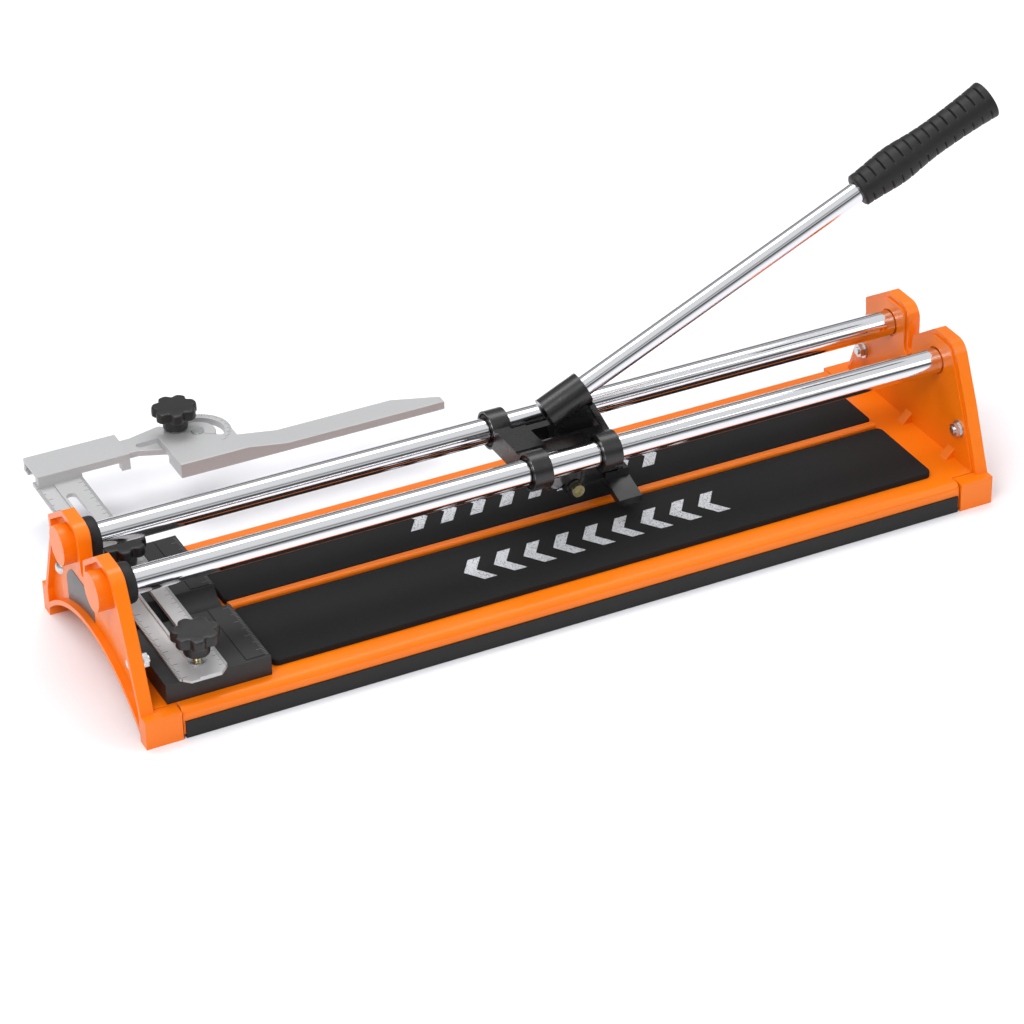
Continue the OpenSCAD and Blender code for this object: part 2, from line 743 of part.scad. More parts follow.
module lever_casting() color(black) difference() {
  union() {
    on_handle() translate([0, 0, -socket_l]) cylinder(h = socket_l, r = socket_r);
    difference() {
      along_y(-web_half, web_half) lever_web();
      on_handle() translate([0, 0, -socket_l - 30]) cylinder(h = socket_l + 80, r = socket_r - 1);
    }
    along_y(-lever_half, lever_half) lever_flange();
    bar_y(-lever_half, lever_half, pivot_x, pivot_z, pivot_boss_r);
    bar_y(-fork_half, fork_half, wheel_x, wheel_z, fork_r);
    box([foot_x0, -lever_half, foot_z1], [foot_x1, lever_half, foot_z1 + 6]);
    along_y(-lever_half, lever_half) polygon([
      from_pivot(-13, 47), from_pivot(-13, 43), from_pivot(36, 18), from_pivot(36, 22)
    ]);
  }
  on_handle() translate([0, 0, -tube_in]) cylinder(h = tube_in + 60, r = tube_d / 2 + rail_fit);
  bar_y(-lever_half - past, lever_half + past, pivot_x, pivot_z, pivot_r + run_gap);
  bar_y(-lever_half - past, lever_half + past, wheel_x, wheel_z, axle_r + rail_fit);
  bar_y(-wheel_t / 2 - slide_gap, wheel_t / 2 + slide_gap, wheel_x, wheel_z, wheel_r + 1);
  foot_screw_places() translate([0, 0, foot_z1 - past]) cylinder(h = 10, r = 2.05);
}

module foot_screw_places() {
  for (x = [foot_x0 + 5.5, foot_x1 - 5.5]) translate([x, 0, 0]) children();
}

// Wings slope down and outwards so that they press on both halves of a scored tile
module breaker_foot() color(black) difference() {
  along_x(foot_x0, foot_x1) polygon([
    [-lever_half, foot_z1], [lever_half, foot_z1], [breaker_w / 2, foot_z1 - foot_drop],
    [breaker_w / 2, foot_z1 - foot_drop - foot_t], [3, foot_z1 - foot_t], [-3, foot_z1 - foot_t],
    [-breaker_w / 2, foot_z1 - foot_drop - foot_t], [-breaker_w / 2, foot_z1 - foot_drop]
  ]);
  foot_screw_places() {
    translate([0, 0, foot_z1 - foot_t - 5]) cylinder(h = foot_t + 10, r = 2 + hole_gap);
    translate([0, 0, foot_z1 - foot_t - 5]) cylinder(h = 7.5, r = 3.8 + hole_gap);
  }
}

module foot_screws() color(chrome) foot_screw_places() {
  translate([0, 0, foot_z1 - foot_t + 2.5]) cylinder(h = foot_t + 5, r = 2);
  translate([0, 0, foot_z1 - foot_t + 0.5]) cylinder(h = 2, r = 3.8);
}

module wheel_axle() color(chrome) {
  bar_y(-fork_half, fork_half + 0.9, wheel_x, wheel_z, axle_r);
  bar_y(-lever_half + 0.2, -fork_half, wheel_x, wheel_z, axle_r + 1.3);
}

module axle_clip() color(chrome) difference() {
  bar_y(fork_half, fork_half + 0.8, wheel_x, wheel_z, axle_r + 1.6);
  bar_y(fork_half - past, fork_half + 2, wheel_x, wheel_z, axle_r + rail_fit);
}

bevel = 0.8;

// Hardened disc with a bevelled cutting edge
module cutting_wheel() color(silver) translate([wheel_x, 0, wheel_z]) rotate([90, 0, 0])
  rotate_extrude() polygon([
    [axle_r + run_gap, -wheel_t / 2], [wheel_r - 1.4, -wheel_t / 2],
    [wheel_r, -wheel_t / 2 + bevel], [wheel_r, wheel_t / 2 - bevel],
    [wheel_r - 1.4, wheel_t / 2], [axle_r + run_gap, wheel_t / 2]
  ]);

grip_z0 = handle_l - grip_l;
tube_end = handle_l - 8;

module handle_tube() color(chrome) on_handle() difference() {
  translate([0, 0, -tube_in + slide_gap]) cylinder(h = tube_end + tube_in - slide_gap, r = tube_d / 2);
  translate([0, 0, -tube_in - past]) cylinder(h = tube_end + tube_in + 2 * past, r = tube_d / 2 - tube_wall);
}

// Radius of the grip at a share s of its length: a palm swell, a waist and a flared end
function swell(s) = grip_r + 2.4 * exp(-pow((s - 0.28) / 0.17, 2)) + 2.8 * pow(s, 5);
grip_rings = 24;

module handle_grip() color(black) on_handle() difference() {
  rotate_extrude() polygon(concat(
    [[0, grip_z0]],
    [for (i = [0 : grip_rings]) [swell(i / grip_rings) - (i == 0 ? 1 : 0), grip_z0 + (grip_l - 2) * i / grip_rings]],
    [[swell(1) - 2, handle_l], [0, handle_l]]
  ));
  translate([0, 0, grip_z0 - past]) cylinder(h = tube_end - grip_z0 + past + 0.3, r = tube_d / 2 + rail_fit);
}

base_tray();
break_ridge();
front_pad();
rear_pad();
front_edge_strip();
rear_edge_strip();
left_end_frame();
right_end_frame();
end_bolts();
end_washers();
end_nuts();
front_rail();
rear_rail();
rail_bumpers();
stop_block();
stop_screws();
front_stud();
rear_stud();
guide_washers();
front_knob();
rear_knob();
guide_square();
fence_arm();
fence_pivot_pin();
fence_stud();
fence_washer();
fence_knob();
angle_fence();
carriage_body();
rail_bushes();
pivot_bolt();
pivot_nut();
lever_casting();
breaker_foot();
foot_screws();
wheel_axle();
axle_clip();
cutting_wheel();
handle_tube();
handle_grip();
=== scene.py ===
# %% [markdown]
# # A rail tile cutter
#
# A tile cutter is a pressed steel bed between two cast end frames. Two chrome rails carry a
# cast carriage, and the carriage carries a hand lever with a scoring wheel and a breaker foot.
# At the left end a plastic measuring block holds a sliding T-square with a protractor fence.
#
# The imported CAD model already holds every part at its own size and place. This script keeps
# that frame fixed and gives each part the surface that it has in a workshop: rounded edges,
# paint, chrome, foam, rubber and plastic.

import json
import math

import bmesh
import bpy
import numpy as np
from mathutils import Matrix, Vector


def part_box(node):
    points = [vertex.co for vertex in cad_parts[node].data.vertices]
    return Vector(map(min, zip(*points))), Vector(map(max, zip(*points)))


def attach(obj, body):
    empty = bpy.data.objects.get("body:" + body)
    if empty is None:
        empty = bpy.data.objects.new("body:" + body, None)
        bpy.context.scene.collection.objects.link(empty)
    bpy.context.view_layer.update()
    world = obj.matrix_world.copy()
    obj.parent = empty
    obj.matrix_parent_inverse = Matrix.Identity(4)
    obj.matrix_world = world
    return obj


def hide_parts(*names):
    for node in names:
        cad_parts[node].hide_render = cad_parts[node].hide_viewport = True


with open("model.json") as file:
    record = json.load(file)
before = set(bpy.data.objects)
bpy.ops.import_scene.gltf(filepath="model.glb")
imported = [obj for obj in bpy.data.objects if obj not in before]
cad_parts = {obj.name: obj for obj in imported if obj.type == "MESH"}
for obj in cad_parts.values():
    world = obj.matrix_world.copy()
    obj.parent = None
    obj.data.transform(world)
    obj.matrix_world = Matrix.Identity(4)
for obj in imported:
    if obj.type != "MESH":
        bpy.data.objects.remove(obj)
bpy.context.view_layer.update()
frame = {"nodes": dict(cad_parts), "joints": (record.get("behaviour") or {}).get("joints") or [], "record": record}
MM = 0.001

# %% [markdown]
# ## Camera
#
# A camera that stands far away with a long lens keeps parallel edges nearly parallel. Its
# direction is written as an azimuth, an elevation and a small roll, because those three angles
# are the ones that a tripod's head has.

# %% Camera
AZIMUTH, ELEVATION, ROLL = map(math.radians, (-25.79, 31.85, -1.289))
CAMERA_PLACE = (-1.0195, -2.0862, 1.4802)
LENS = 127.48


def camera_axes(azimuth, elevation, roll):
    """Right, up and back vectors of a camera that looks down its back axis, rolled about it."""
    back = np.array([
        math.sin(azimuth) * math.cos(elevation),
        -math.cos(azimuth) * math.cos(elevation),
        math.sin(elevation),
    ])
    right = np.cross((0.0, 0.0, 1.0), back)
    right /= np.linalg.norm(right)
    up = np.cross(back, right)
    return (
        math.cos(roll) * right + math.sin(roll) * up,
        math.cos(roll) * up - math.sin(roll) * right,
        back,
    )


camera_data = bpy.data.cameras.new("camera")
camera_data.lens = LENS
camera_data.sensor_width = 36
camera_data.clip_end = 50
camera = bpy.data.objects.new("camera", camera_data)
bpy.context.scene.collection.objects.link(camera)
turn = np.eye(4)
turn[:3, :3] = np.stack(camera_axes(AZIMUTH, ELEVATION, ROLL), axis=1)
turn[:3, 3] = CAMERA_PLACE
camera.matrix_world = Matrix(turn.tolist())
bpy.context.scene.camera = camera
print("camera", LENS, "mm at", CAMERA_PLACE)

# %% [markdown]
# ## Shader maths as Python
#
# A finish is built from many small Math nodes. Written out one by one they hide the idea, so a
# `Signal` wraps one socket and takes the usual operators. `1 - mask` or `grain * 0.2 + 0.5`
# then adds the nodes by itself. `Finish` is a Principled material with one method that adds any
# node.

# %% Signals and finishes
class Signal:
    """One output socket, on which arithmetic adds Math nodes."""

    def __init__(self, finish, socket):
        self.finish, self.socket = finish, socket

    def math(self, operation, *values):
        inputs = dict(enumerate(values))
        return self.finish.node("ShaderNodeMath", {"operation": operation}, inputs)

    def __add__(self, other): return self.math("ADD", self, other)
    def __radd__(self, other): return self.math("ADD", other, self)
    def __sub__(self, other): return self.math("SUBTRACT", self, other)
    def __rsub__(self, other): return self.math("SUBTRACT", other, self)
    def __mul__(self, other): return self.math("MULTIPLY", self, other)
    def __rmul__(self, other): return self.math("MULTIPLY", other, self)
    def __mod__(self, other): return self.math("FLOORED_MODULO", self, other)
    def __lt__(self, other): return self.math("LESS_THAN", self, other)
    def __gt__(self, other): return self.math("GREATER_THAN", self, other)
    def __abs__(self): return self.math("ABSOLUTE", self)


class Finish:
    """One Principled material. Uniform values are set on its sockets, varying ones are linked."""

    def __init__(self, name, **uniform):
        self.material = bpy.data.materials.new(name)
        self.material.use_nodes = True
        self.tree = self.material.node_tree
        self.surface = self.tree.nodes["Principled BSDF"]
        for socket, value in uniform.items():
            self.surface.inputs[socket.replace("_", " ")].default_value = value

    def put(self, socket, value):
        if isinstance(value, Signal):
            self.tree.links.new(value.socket, socket)
        else:
            socket.default_value = value

    def node(self, kind, settings, values, out=0):
        """Adds a node: first its settings, then the value or link of each socket."""
        made = self.tree.nodes.new(kind)
        stops = settings.pop("stops", None)
        for key, value in settings.items():
            setattr(made, key, value)
        for place, value in values.items():
            self.put(made.inputs[place], value)
        if stops:
            ramp = made.color_ramp.elements
            while len(ramp) < len(stops):
                ramp.new(0.5)
            for element, (at, colour) in zip(ramp, stops):
                element.position, element.color = at, (*colour, 1)
        return Signal(self, made.outputs[out])

    def place(self):
        """The point on the piece, in metres in the cutter's own frame."""
        return self.node("ShaderNodeTexCoord", {}, {}, out=3)

    def axes(self):
        point = self.place()
        return [self.node("ShaderNodeSeparateXYZ", {}, {0: point}, out=i) for i in range(3)]

    def stretched(self, x, y, z):
        return self.node("ShaderNodeMapping", {}, {0: self.place(), 3: (x, y, z)})

    def noise(self, scale, detail=2.0, point=None):
        values = {"Vector": point or self.place(), "Scale": scale, "Detail": detail}
        return self.node("ShaderNodeTexNoise", {}, values)

    def mix(self, share, a, b):
        """Colour a, turning to colour b as share goes from 0 to 1."""
        return self.node("ShaderNodeMix", {"data_type": "RGBA"}, {0: share, 6: a, 7: b}, out=2)

    def step(self, value, low, high):
        """0 below low, 1 above high, and a straight line between."""
        kind = "ShaderNodeMapRange"
        return self.node(kind, {"clamp": True}, {0: value, 1: low, 2: high, 3: 0.0, 4: 1.0})

    def relief(self, height, depth):
        """Bumps the surface by height times depth, in metres."""
        values = {"Height": height, "Distance": depth, "Strength": 1.0}
        self.put(self.surface.inputs["Normal"], self.node("ShaderNodeBump", {}, values))

    def feed(self, socket, signal):
        self.put(self.surface.inputs[socket], signal)


def grey(level):
    return (level, level, level * 1.03, 1)


# %% [markdown]
# ## Paint and metal
#
# The bed and the end frames are sprayed with a glossy orange enamel. Enamel isn't flat: it has
# a faint orange peel, and its tone drifts a little from one area to the next. The chrome on the
# rails shows fine lines from grinding, which run along the bar and only change its roughness.

# %% Orange enamel
def orange_enamel():
    paint = Finish(
        "orange_enamel", Coat_Weight=0.12, Coat_Roughness=0.10, Specular_IOR_Level=0.35
    )
    drift = paint.noise(9.0, 3.0)
    paint.feed("Base Color", paint.mix(drift, (0.86, 0.165, 0.0008, 1), (0.93, 0.205, 0.0012, 1)))
    paint.feed("Roughness", paint.noise(60.0) * 0.12 + 0.26)
    paint.relief(paint.noise(900.0, 1.0), 0.00004)
    return paint.material


def chrome_plate(name, along):
    """Bright chrome with grinding lines that are long in the direction along."""
    plate = Finish(name, Metallic=1.0, Base_Color=grey(0.80))
    scale = [60.0 if a else 2600.0 for a in along]
    lines = plate.noise(1.0, 2.0, plate.stretched(*scale))
    plate.feed("Roughness", lines * 0.09 + 0.045)
    return plate.material


def zinc_plate():
    zinc = Finish("zinc_plate", Metallic=1.0)
    bloom = zinc.noise(420.0, 3.0)
    zinc.feed("Base Color", zinc.mix(bloom, grey(0.58), (0.70, 0.71, 0.70, 1)))
    zinc.feed("Roughness", bloom * 0.2 + 0.2)
    return zinc.material


def yellow_zinc():
    zinc = Finish("yellow_zinc", Metallic=1.0)
    bloom = zinc.noise(300.0, 2.0)
    zinc.feed("Base Color", zinc.mix(bloom, (0.62, 0.52, 0.26, 1), (0.72, 0.68, 0.44, 1)))
    zinc.feed("Roughness", bloom * 0.15 + 0.25)
    return zinc.material


def sintered_bronze():
    bronze = Finish("sintered_bronze", Metallic=1.0)
    pores = bronze.noise(1800.0, 2.0)
    dark, light = (0.020, 0.016, 0.012, 1), (0.050, 0.040, 0.028, 1)
    bronze.feed("Base Color", bronze.mix(pores, dark, light))
    bronze.feed("Roughness", pores * 0.25 + 0.35)
    return bronze.material


def ground_steel():
    """Hard metal with faint scratches that cross each other, as a ground disc has."""
    steel = Finish("ground_steel", Metallic=1.0)
    first = steel.noise(1.0, 3.0, steel.stretched(3500.0, 300.0, 260.0))
    second = steel.noise(1.0, 3.0, steel.stretched(240.0, 300.0, 3800.0))
    both = (first + second) * 0.5
    steel.feed("Base Color", steel.mix(both, grey(0.50), grey(0.78)))
    steel.feed("Roughness", both * 0.3 + 0.15)
    steel.relief(both, 0.00002)
    return steel.material


ENAMEL = orange_enamel()
RAIL_CHROME = chrome_plate("rail_chrome", (True, False, False))
TUBE_CHROME = chrome_plate("tube_chrome", (True, False, True))
ZINC = zinc_plate()
YELLOW_ZINC = yellow_zinc()
BRONZE = sintered_bronze()
GROUND_STEEL = ground_steel()
print("metals and enamel:", [finish.name for finish in (
    ENAMEL, RAIL_CHROME, TUBE_CHROME, ZINC, YELLOW_ZINC, BRONZE, GROUND_STEEL
)])

# %% [markdown]
# ## Black parts
#
# Five different blacks meet on this object: painted castings, grained plastic, soft foam,
# rubber trim and the grip. What tells them apart is gloss and grain, so each has its own
# roughness and its own bump at its own scale.

# %% Black finishes
def black_paint():
    paint = Finish("black_paint", Coat_Weight=0.15, Coat_Roughness=0.25)
    sand = paint.noise(1500.0, 3.0)
    paint.feed("Base Color", paint.mix(sand, grey(0.005), grey(0.012)))
    paint.feed("Roughness", paint.noise(70.0) * 0.12 + 0.22)
    paint.relief(sand, 0.00009)
    return paint.material


def grained_plastic(name, tone, rough, scale):
    plastic = Finish(name)
    grain = plastic.noise(scale, 2.0)
    plastic.feed("Base Color", plastic.mix(grain, grey(tone * 0.8), grey(tone * 1.35)))
    plastic.feed("Roughness", plastic.noise(90.0) * 0.12 + rough)
    plastic.relief(grain, 0.00005)
    return plastic.material


def rubber(name, tone, rough):
    soft = Finish(name, Specular_IOR_Level=0.35)
    bloom = soft.noise(160.0, 4.0)
    soft.feed("Base Color", soft.mix(bloom, grey(tone), grey(tone * 1.7)))
    soft.feed("Roughness", bloom * 0.15 + rough)
    soft.relief(soft.noise(2200.0, 2.0), 0.00005)
    return soft.material


BLACK_PAINT = black_paint()
KNOB_PLASTIC = grained_plastic("knob_plastic", 0.010, 0.34, 2400.0)
FOOT_PLASTIC = grained_plastic("foot_plastic", 0.007, 0.26, 2000.0)
TRIM_RUBBER = rubber("trim_rubber", 0.008, 0.50)
GRIP_RUBBER = rubber("grip_rubber", 0.008, 0.42)
print("black finishes:", [finish.name for finish in (
    BLACK_PAINT, KNOB_PLASTIC, FOOT_PLASTIC, TRIM_RUBBER, GRIP_RUBBER
)])

# %% [markdown]
# ## Foam pads with a printed pattern
#
# The pads are foam with a printed band of plain chevrons. The print is a mask worked out from
# the place on the pad: it repeats along the bed, and inside each repeat a bar folds over at the
# middle of the band, which makes the chevron.

# %% Foam finish
CHEVRONS = 9


def foam_finish(name, start, end, low, high, lean):
    """Foam with a printed band between start and end along X, and low and high along Y."""
    foam = Finish(name, Specular_IOR_Level=0.3)
    x, y, _ = foam.axes()
    cells = foam.noise(2600.0, 2.0)
    shade = foam.noise(14.0, 3.0)
    black = foam.mix(cells * 0.6 + shade * 0.4, grey(0.004), grey(0.014))
    middle = (low + high) / 2
    fold = abs(y - middle) * lean
    pitch = (end - start) / CHEVRONS
    along = (x - start - fold) % pitch
    bar = (along > pitch * 0.18) * (along < pitch * 0.60)
    first, last = start + pitch * 0.08, end - pitch * 0.36
    inside = (x - fold > first) * (x - fold < last) * (y > low) * (y < high)
    worn = foam.step(foam.noise(1500.0, 3.0), 0.36, 0.46)
    ink = bar * inside * worn
    foam.feed("Base Color", foam.mix(ink, black, (0.62, 0.63, 0.66, 1)))
    foam.feed("Roughness", 0.86 - ink * 0.2)
    foam.relief(cells + shade * 0.5, 0.00012)
    return foam.material


FRONT_FOAM = foam_finish("front_foam", -0.077, 0.145, -0.057, -0.028, 0.7)
REAR_FOAM = foam_finish("rear_foam", -0.077, 0.145, 0.028, 0.057, -0.7)
print("foam finishes:", FRONT_FOAM.name, REAR_FOAM.name)

# %% [markdown]
# ## Scales
#
# The measuring block, the T-square and the fence carry scales. A tick is a thin line that
# repeats at a fixed pitch, and every few ticks one is longer, so one helper makes them from a
# running length and the distance from the scale's edge. No numerals are drawn.

# %% Tick helper
def ticks(run, depth, pitch, width, lengths):
    """1 on a tick. run is the length along the scale and depth the distance in from its edge.
    lengths are (every, length) pairs: every n-th tick is that long."""
    marks = None
    for every, length in lengths:
        step = pitch * every
        near = abs((run + step / 2) % step - step / 2) < width / 2
        mark = near * (depth < length) * (depth > 0.0)
        marks = mark if marks is None else marks.math("MAXIMUM", marks, mark)
    return marks


SILVER_DARK, SILVER_LIGHT = (0.44, 0.44, 0.445, 1), (0.58, 0.58, 0.585, 1)


def silver_paint(name):
    paint = Finish(name, Specular_IOR_Level=0.5)
    fleck = paint.noise(2600.0, 3.0)
    tone = paint.mix(fleck, SILVER_DARK, SILVER_LIGHT)
    paint.relief(paint.noise(1200.0, 2.0), 0.00004)
    paint.feed("Roughness", fleck * 0.15 + 0.38)
    paint.surface.inputs["Metallic"].default_value = 0.35
    return paint, tone


def plain_silver():
    paint, tone = silver_paint("silver_paint")
    paint.feed("Base Color", tone)
    return paint.material


bar_low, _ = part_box("guide_square")
BAR_LEFT = bar_low.x
BAR_WIDTH = 0.037
SCALE_END = 0.196
INK = (0.03, 0.03, 0.035, 1)


def scaled_silver():
    """Silver paint with a fine scale down each edge of the T-square's bar."""
    paint, tone = silver_paint("scaled_silver")
    x, y, _ = paint.axes()
    lengths = [(1, 0.0024), (5, 0.0042), (10, 0.0062)]
    right = ticks(y, (BAR_LEFT + BAR_WIDTH) - x, 0.00127, 0.00045, lengths)
    left = ticks(y, x - BAR_LEFT, 0.0018, 0.00055, lengths)
    on_bar = (y < SCALE_END) * (x < BAR_LEFT + BAR_WIDTH + 0.0005)
    marks = right.math("MAXIMUM", right, left) * on_bar
    paint.feed("Base Color", paint.mix(marks * 0.9, tone, INK))
    return paint.material


fence_joint = next(j for j in frame["joints"] if j["name"] == "fence_swing")
PIVOT = fence_joint["pos_m"]
ARC_RADIUS = 0.0262


def protractor_silver():
    """Silver paint with a ring of degree ticks round the fence's pivot."""
    paint, tone = silver_paint("protractor_silver")
    x, y, _ = paint.axes()
    dx, dy = x - PIVOT[0], y - PIVOT[1]
    radius = paint.node("ShaderNodeMath", {"operation": "SQRT"}, {0: dx * dx + dy * dy})
    angle = paint.node("ShaderNodeMath", {"operation": "ARCTAN2"}, {0: dy, 1: dx})
    run = angle * (180 / math.pi)
    marks = ticks(run, ARC_RADIUS - radius, 5.0, 0.9, [(1, 0.0020), (3, 0.0036)])
    ring = (run > -60.0) * (run < 150.0)
    paint.feed("Base Color", paint.mix(marks * ring * 0.9, tone, INK))
    return paint.material


_, block_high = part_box("stop_block")
STRIP_WIDTH = 0.0185
BLOCK_TICKS = [(1, 0.0025), (5, 0.0045), (10, 0.0065)]


def block_plastic():
    """Black plastic whose raised strip carries moulded ticks. The ticks are bumped, and their lighter grey is a
    painted highlight.
    """
    plastic = Finish("block_plastic")
    grain = plastic.noise(1700.0, 2.0)
    x, y, z = plastic.axes()
    base = plastic.mix(grain, grey(0.006), grey(0.016))
    edge = block_high.x - x
    marks = ticks(y, edge - 0.001, 0.002, 0.0005, BLOCK_TICKS)
    strip = (edge < STRIP_WIDTH) * (z > block_high.z - 0.0006)
    # Painted highlight: the moulded black ticks get a lighter grey, as if they caught the light.
    plastic.feed("Base Color", plastic.mix(marks * strip * 0.7, base, grey(0.16)))
    plastic.feed("Roughness", plastic.noise(80.0) * 0.1 + 0.46)
    plastic.relief(grain * 0.3 + marks * strip, 0.00012)
    return plastic.material


SILVER = plain_silver()
SCALED_SILVER = scaled_silver()
PROTRACTOR = protractor_silver()
BLOCK_PLASTIC = block_plastic()
print("scaled finishes, pivot at", PIVOT)

# %% [markdown]
# ## Surfaces from formulas
#
# Round parts are worked out as a grid: one direction of the grid follows a profile, and the
# other goes round the axis. The whole grid is one numpy array, so there is no loop over points.
# Rows that shrink to the axis are merged afterwards, which closes the poles.

# %% Mesh helpers
def add_piece(name, points, faces, finish, body, replaces=(), sharp=35):
    """Makes an object from a point array and an array of four-cornered faces."""
    mesh = bpy.data.meshes.new(name)
    mesh.vertices.add(len(points))
    mesh.vertices.foreach_set("co", np.asarray(points, np.float32).ravel())
    mesh.loops.add(faces.size)
    mesh.loops.foreach_set("vertex_index", faces.astype(np.int32).ravel())
    mesh.polygons.add(len(faces))
    mesh.polygons.foreach_set("loop_start", np.arange(0, faces.size, 4, dtype=np.int32))
    mesh.update(calc_edges=True)
    tidy(mesh)
    return finish_piece(name, mesh, finish, body, replaces, sharp)


def tidy(mesh):
    """Merges what coincides, drops faces with no area and turns the faces outwards."""
    cage = bmesh.new()
    cage.from_mesh(mesh)
    bmesh.ops.remove_doubles(cage, verts=cage.verts, dist=1e-7)
    bmesh.ops.dissolve_degenerate(cage, edges=cage.edges, dist=1e-8)
    bmesh.ops.recalc_face_normals(cage, faces=cage.faces)
    cage.to_mesh(mesh)
    cage.free()
    mesh.update()


def finish_piece(name, mesh, finish, body, replaces, sharp):
    mesh.materials.clear()
    mesh.materials.append(finish)
    mesh.polygons.foreach_set("use_smooth", np.ones(len(mesh.polygons), bool))
    mesh.set_sharp_from_angle(angle=math.radians(sharp))
    piece = bpy.data.objects.new(name, mesh)
    bpy.context.scene.collection.objects.link(piece)
    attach(piece, body)
    if replaces:
        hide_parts(*replaces)
    return piece


def grid_faces(rows, columns):
    """Four-cornered faces of a grid of points whose columns go once round."""
    i, j = np.meshgrid(np.arange(rows - 1), np.arange(columns), indexing="ij")
    here, above, next_j = i * columns, (i + 1) * columns, (j + 1) % columns
    corners = [here + j, here + next_j, above + next_j, above + j]
    return np.stack(corners, axis=-1).reshape(-1, 4)


def side_axes(axis):
    """Two unit vectors square to an axis and to each other."""
    axis = np.asarray(axis, float) / np.linalg.norm(axis)
    first = np.cross(axis, (0, 0, 1) if abs(axis[2]) < 0.9 else (0, 1, 0))
    first /= np.linalg.norm(first)
    return axis, first, np.cross(axis, first)


def turned(profile, origin, axis, columns=96, radius=None):
    """A surface turned on an axis. Each profile row is (radius, distance along the axis), and
    the point is origin + distance * axis + radius * (cos a * first + sin a * second). radius, if
    given, is a function of the rows' radii and distances and the angle that returns new radii."""
    axis, first, second = side_axes(axis)
    r, d = np.asarray(profile, float).T[:, :, None]
    a = np.linspace(0, 2 * np.pi, columns, endpoint=False)[None, :]
    rr = r + 0 * a if radius is None else radius(r, d, a)
    place = np.asarray(origin, float) + d[..., None] * axis + 0 * rr[..., None]
    around = np.cos(a)[..., None] * first + np.sin(a)[..., None] * second
    return (place + rr[..., None] * around).reshape(-1, 3), grid_faces(len(profile), columns)


def eased(points, rounds=2):
    """Cuts the corners of an open line: each stretch keeps its points at a quarter and three
    quarters, which turns every corner into a small curve. The two ends stay."""
    line = np.asarray(points, float)
    for _ in range(rounds):
        quarter = line[:-1] * 0.75 + line[1:] * 0.25
        three = line[:-1] * 0.25 + line[1:] * 0.75
        middle = np.stack([quarter, three], axis=1).reshape(-1, line.shape[1])
        line = np.vstack([line[:1], middle, line[-1:]])
    return line


def rod_profile(radius, start, end, edge):
    """Closed rod with its two edges broken by a small chamfer."""
    return [
        (0, start), (radius - edge, start), (radius, start + edge),
        (radius, end - edge), (radius - edge, end), (0, end),
    ]


# %% [markdown]
# ## Softened castings
#
# The CAD solids have knife-sharp edges, but paint and moulding leave a small radius, and that
# radius is what catches the light. A copy of each solid is merged into a clean cage first, its
# flat areas are joined and then split again only where a face isn't convex, and a Bevel
# modifier rounds the edges. On flat areas with holes the bevel leaves a few folded triangles,
# mostly on the tray and the measuring block, which is a known fault.

# %% Softened copies of the CAD solids
BODIES = frame["record"]["behaviour"]["bodies"]
BODY_OF = {node: body for body, nodes in BODIES.items() for node in nodes}
FLAT_ANGLE = math.radians(0.6)
SHARP_DEGREES = 28
BEVEL_STEPS = 3


def softened(node, edge, finish, join_flats=True):
    """A copy of a CAD node whose edges are rounded by edge, in millimetres. join_flats makes one
    face of each flat area first. The tray keeps its triangles, because less of its deck then
    faces the wrong way."""
    mesh = frame["nodes"][node].data.copy()
    cage = bmesh.new()
    cage.from_mesh(mesh)
    bmesh.ops.remove_doubles(cage, verts=cage.verts, dist=2e-6)
    if join_flats:
        bmesh.ops.dissolve_limit(
            cage, angle_limit=FLAT_ANGLE, verts=cage.verts, edges=cage.edges
        )
        bmesh.ops.connect_verts_concave(cage, faces=cage.faces)
    bmesh.ops.recalc_face_normals(cage, faces=cage.faces)
    cage.to_mesh(mesh)
    cage.free()
    piece = finish_piece(
        node + "_soft", mesh, finish, BODY_OF[node], (node,), SHARP_DEGREES
    )
    bevel = piece.modifiers.new("edge", "BEVEL")
    bevel.width = edge * MM
    bevel.segments = BEVEL_STEPS
    bevel.limit_method = "ANGLE"
    bevel.angle_limit = math.radians(SHARP_DEGREES)
    bevel.harden_normals = True
    return piece


softened("base_tray", 0.4, ENAMEL, join_flats=False)
for node, edge in (("break_ridge", 0.4), ("left_end_frame", 1.0), ("right_end_frame", 1.0)):
    softened(node, edge, ENAMEL)
softened("stop_block", 0.6, BLOCK_PLASTIC)
softened("guide_square", 0.5, SCALED_SILVER)
softened("fence_arm", 0.5, SILVER)
softened("angle_fence", 0.7, PROTRACTOR)
softened("carriage_body", 0.7, BLACK_PAINT)
softened("lever_casting", 0.7, BLACK_PAINT)
softened("breaker_foot", 0.8, FOOT_PLASTIC)
for node in ("front_edge_strip", "rear_edge_strip"):
    softened(node, 0.3, TRIM_RUBBER)

# %% [markdown]
# ## Rails and handle tube
#
# The rails are ground bars, so each is one turned surface with a small chamfer at its ends. The
# CAD solid gives the axis and the radius, and the visible bar uses ninety-six steps round.

# %% Rails, bumpers and tube
JOINTS = {joint["name"]: joint for joint in frame["joints"]}


def middle_of(node):
    low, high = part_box(node)
    return np.array((low + high) / 2), np.array(high - low)


for node in ("front_rail", "rear_rail"):
    centre, size = middle_of(node)
    profile = rod_profile(size[2] / 2, -size[0] / 2, size[0] / 2, 0.4 * MM)
    points, faces = turned(profile, centre, (1, 0, 0))
    add_piece(node + "_bar", points, faces, RAIL_CHROME, "base", (node,))

